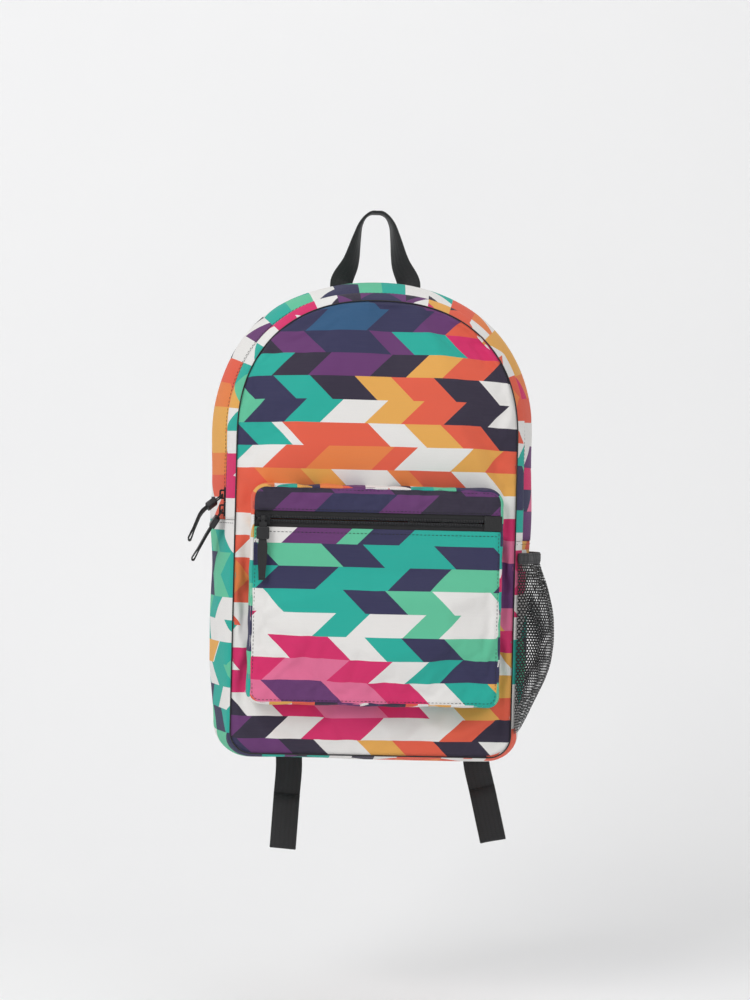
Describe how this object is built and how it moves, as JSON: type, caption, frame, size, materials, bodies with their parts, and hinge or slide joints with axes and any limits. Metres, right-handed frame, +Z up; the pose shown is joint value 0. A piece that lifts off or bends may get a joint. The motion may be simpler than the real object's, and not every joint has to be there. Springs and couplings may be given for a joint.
{
  "type": "backpack",
  "caption": "Printed cloth daypack with an arched zipped main compartment, zipped front pocket, net side pocket, padded straps and a webbing haul loop.",
  "frame": {"origin": "underside of the haul loop's top, where a peg carries the bag", "axes": "+X to the viewer's right as the front is seen, -Y out of the front, +Z up"},
  "size_m": [0.3284, 0.1843, 0.5846],
  "materials": {
    "printed_cloth": "printed plain weave",
    "padding": "padded cloth",
    "webbing": "woven tape",
    "zip_tape": "woven zip tape",
    "net": "knitted net",
    "elastic": "folded elastic",
    "zip_coil": "moulded coil",
    "moulding": "fine texture",
    "slider": "black paint"
  },
  "bodies": {
    "bag": {"front_panel": "printed_cloth", "front_zip_strip": "printed_cloth", "rear_zip_strip": "printed_cloth", "lower_gusset": "printed_cloth", "back_panel": "padding", "laptop_sleeve": "padding", "laptop_sleeve_binding": "elastic", "main_zip_front_tape": "zip_tape", "main_zip_rear_tape": "zip_tape", "main_zip_front_coil": "zip_coil", "main_zip_rear_coil": "zip_coil", "pocket_top_panel": "printed_cloth", "pocket_front_panel": "printed_cloth", "pocket_gusset": "printed_cloth", "pocket_zip_upper_tape": "zip_tape", "pocket_zip_lower_tape": "zip_tape", "pocket_zip_upper_coil": "zip_coil", "pocket_zip_lower_coil": "zip_coil", "pocket_zip_end_patch": "zip_tape", "haul_loop": "webbing", "strap_end_band": "webbing", "left_shoulder_strap": "padding", "left_lock_tab": "webbing", "left_ladder_lock": "moulding", "left_anchor_tab": "webbing", "left_webbing": "webbing", "right_shoulder_strap": "padding", "right_lock_tab": "webbing", "right_ladder_lock": "moulding", "right_anchor_tab": "webbing", "right_webbing": "webbing", "side_mesh_pocket": "net", "mesh_pocket_binding": "elastic"},
    "pocket_slider": {"pocket_slider": "slider"},
    "pocket_pull": {"pocket_pull_tape": "webbing", "pocket_pull_block": "moulding"},
    "main_slider_upper": {"main_slider_upper": "slider"},
    "main_pull_upper": {"main_pull_upper_tape": "webbing", "main_pull_upper_block": "moulding"},
    "main_slider_lower": {"main_slider_lower": "slider"},
    "main_pull_lower": {"main_pull_lower_tape": "webbing", "main_pull_lower_block": "moulding"}
  },
  "joints": [
    {"name": "pocket_slide", "type": "slide", "parent": "bag", "child": "pocket_slider", "axis": [1, 0, 0], "range_m": [0, 0.182]},
    {"name": "pocket_pull_hinge", "type": "hinge", "parent": "pocket_slider", "child": "pocket_pull", "pos_m": [-0.0983, -0.1401, -0.278], "axis": [-1, 0, 0], "range_deg": [-3, 170]},
    {"name": "main_upper_slide", "type": "slide", "parent": "bag", "child": "main_slider_upper", "axis": [0, 0, 1], "range_m": [0, 0.042]},
    {"name": "main_pull_upper_hinge", "type": "hinge", "parent": "main_slider_upper", "child": "main_pull_upper", "pos_m": [-0.1336, -0.072, -0.2593], "axis": [0, 0.9397, -0.342], "range_deg": [-12, 80]},
    {"name": "main_lower_slide", "type": "slide", "parent": "bag", "child": "main_slider_lower", "axis": [0, 0, 1], "range_m": [-0.002, 0.0003]},
    {"name": "main_pull_lower_hinge", "type": "hinge", "parent": "main_slider_lower", "child": "main_pull_lower", "pos_m": [-0.1336, -0.072, -0.2723], "axis": [0, 0.9703, 0.2419], "range_deg": [-15, 35]}
  ]
}
